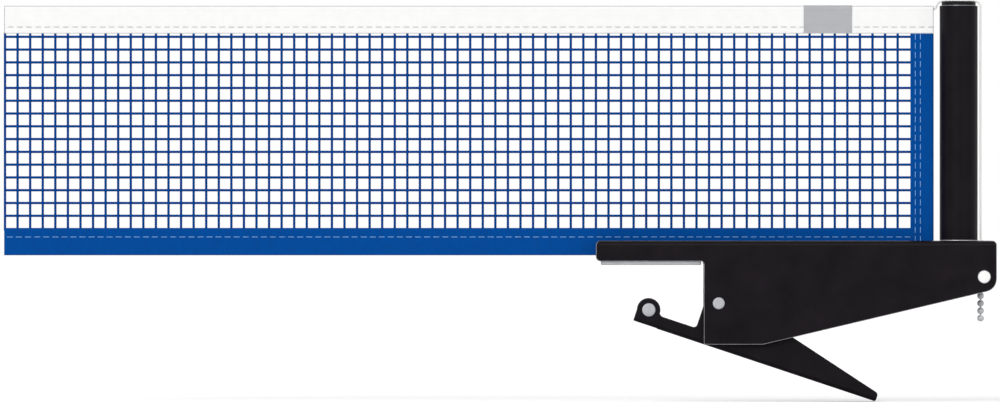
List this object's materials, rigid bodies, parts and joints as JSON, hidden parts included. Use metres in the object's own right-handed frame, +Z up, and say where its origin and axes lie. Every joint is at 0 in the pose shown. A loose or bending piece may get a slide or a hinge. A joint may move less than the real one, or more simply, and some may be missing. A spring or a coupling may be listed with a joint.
{
  "type": "table tennis net clamp",
  "caption": "Spring clip that grips a table's edge, with a post on its outer end that holds a taut net by a cord and a bead chain.",
  "frame": {"origin": "middle of the jaw pad's lower face, which lies on the table top", "axes": "+X outward along the net's line, from the table towards the post; +Y across the clamp; +Z up"},
  "size_m": [0.5837, 0.0398, 0.2357],
  "materials": {
    "powder_coat": "black powder coat, fine satin texture",
    "steel": "zinc plated, satin",
    "aluminium": "anodised, satin",
    "grey_rubber": "matte grey rubber",
    "black_rubber": "matte black rubber",
    "black_plastic": "moulded, satin",
    "white_plastic": "moulded nylon, satin",
    "brass": "turned",
    "blue_fabric": "woven polyester band",
    "blue_string": "knotless knitted net",
    "white_fabric": "woven cotton tape",
    "grey_fabric": "woven satin label",
    "cord": "braided"
  },
  "bodies": {
    "clamp": {"clamp_body": "powder_coat", "jaw_plate": "steel", "jaw_pad": "grey_rubber", "pivot_pin": "steel", "pivot_washers": "white_plastic", "spring_bush": "white_plastic", "torsion_spring": "steel", "post_tube": "powder_coat", "post_washer": "white_plastic", "post_spigot": "steel", "cord_bush": "white_plastic", "catch_block": "white_plastic", "cord_drop": "cord", "cord_ferrule": "steel", "chain_upper": "steel"},
    "lever": {"lever": "powder_coat", "roller_axle": "steel"},
    "roller": {"roller_core": "white_plastic", "roller_tyre": "black_rubber"},
    "height_screw": {"height_screw": "steel", "height_knob": "black_plastic"},
    "net_carrier": {"inner_post": "aluminium", "post_cap": "black_plastic", "post_nut": "brass", "hem_cord": "cord", "cord_over_cap": "cord", "net_mesh": "blue_string", "top_tape": "white_fabric", "low_band": "blue_fabric", "side_band": "blue_fabric", "tape_label": "grey_fabric"},
    "chain_tail": {"chain_tail": "steel"}
  },
  "joints": [
    {"name": "lever_pivot", "type": "hinge", "parent": "clamp", "child": "lever", "pos_m": [0.0397, 0, -0.0225], "axis": [0, -1, 0], "range_deg": [0, 24], "stiffness_Nm_per_rad": 2.5, "springref_deg": -45.84, "deforming": ["torsion_spring"]},
    {"name": "roller_spin", "type": "hinge", "parent": "lever", "child": "roller", "pos_m": [-0.00135, 0, -0.02635], "axis": [0, 1, 0], "continuous": true},
    {"name": "screw_turn", "type": "hinge", "parent": "clamp", "child": "height_screw", "pos_m": [0.1811, 0, 0], "axis": [0, 0, 1], "range_deg": [-180, 3600]},
    {"name": "post_slide", "type": "slide", "parent": "clamp", "child": "net_carrier", "axis": [0, 0, 1], "range_m": [-0.0005, 0.01], "deforming": ["cord_drop"]},
    {"name": "chain_swing", "type": "hinge", "parent": "clamp", "child": "chain_tail", "pos_m": [0.194, 0, -0.0138], "axis": [0, 1, 0], "range_deg": [-25, 25]}
  ],
  "couplings": [
    {"joint": "screw_turn", "follows": "post_slide", "rad_per_m": 6283.2}
  ]
}
